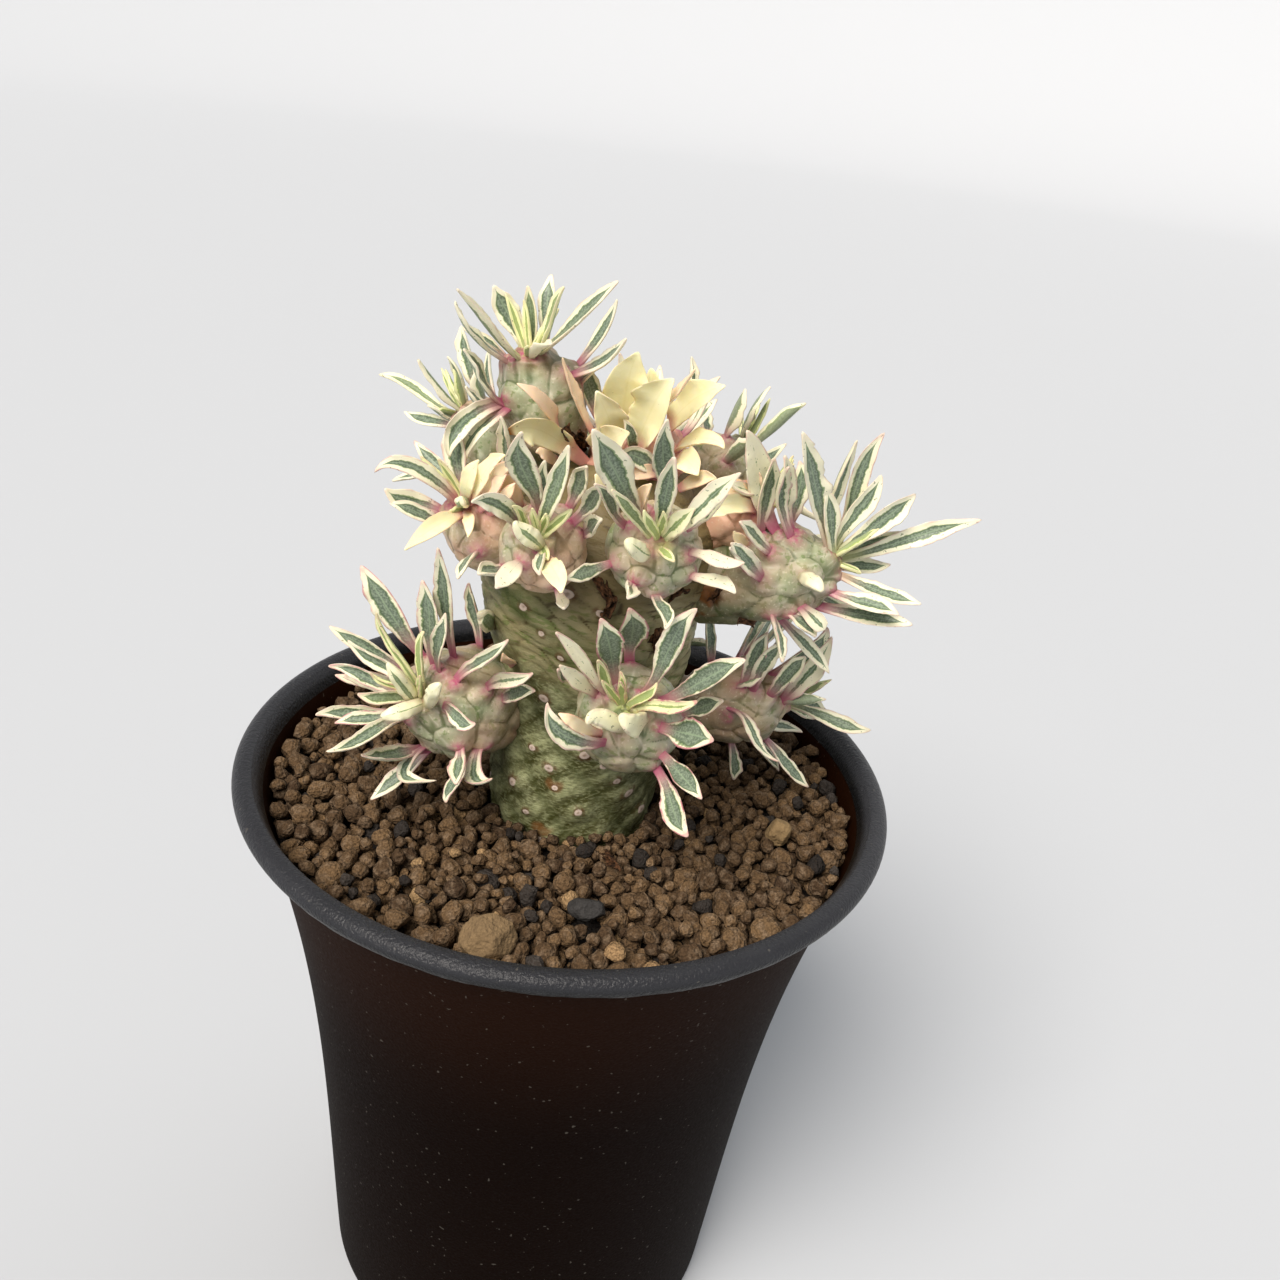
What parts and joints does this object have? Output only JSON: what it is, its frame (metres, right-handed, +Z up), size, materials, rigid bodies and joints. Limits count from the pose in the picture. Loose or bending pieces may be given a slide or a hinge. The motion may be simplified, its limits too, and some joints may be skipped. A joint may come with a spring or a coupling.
{
  "type": "potted succulent",
  "caption": "Many-headed variegated succulent spurge with a warty ribbed stem, growing in coarse grit in a flared black plastic nursery pot.",
  "frame": {"origin": "middle of the flat underside of the pot", "axes": "+Z up along the pot's axis, -Y towards the front, where most heads lean, +X to the right as seen from the front"},
  "size_m": [0.1079, 0.105, 0.1847],
  "materials": {
    "pot_plastic": "satin black, finely grained on the rim and smoother on the wall",
    "grit": "dry matt baked-clay grains in browns with a few grey and tan ones",
    "pale_stone": "matt, rough tan pumice",
    "dark_stone": "matt dark grey gravel",
    "stem_skin": "waxy green skin with dark grooves, pale warts and tan leaf scars",
    "shoot_skin": "satin grey-green skin flushed pink, with dark green lines between its warts",
    "leaf": "satin grey-green blades with uneven cream edges and pink stalks",
    "cream_leaf": "satin cream blades with pink flushes and brown tips"
  },
  "bodies": {
    "root": {"pot": "pot_plastic", "soil": "grit", "stone_tan": "pale_stone", "stone_dark": "dark_stone", "stone_pale": "pale_stone", "stem": "stem_skin", "head_left_low": "leaf", "head_front_low": "leaf", "head_right_low": "leaf", "head_right_arm": "leaf", "head_front_high": "leaf", "head_left_mid": "leaf", "head_left_high": "leaf", "head_top": "leaf", "head_left_rear": "leaf", "crown": "cream_leaf", "head_right_rear": "leaf", "head_scarred": "shoot_skin", "head_rear_high": "leaf", "head_rear_low": "leaf"}
  },
  "joints": []
}
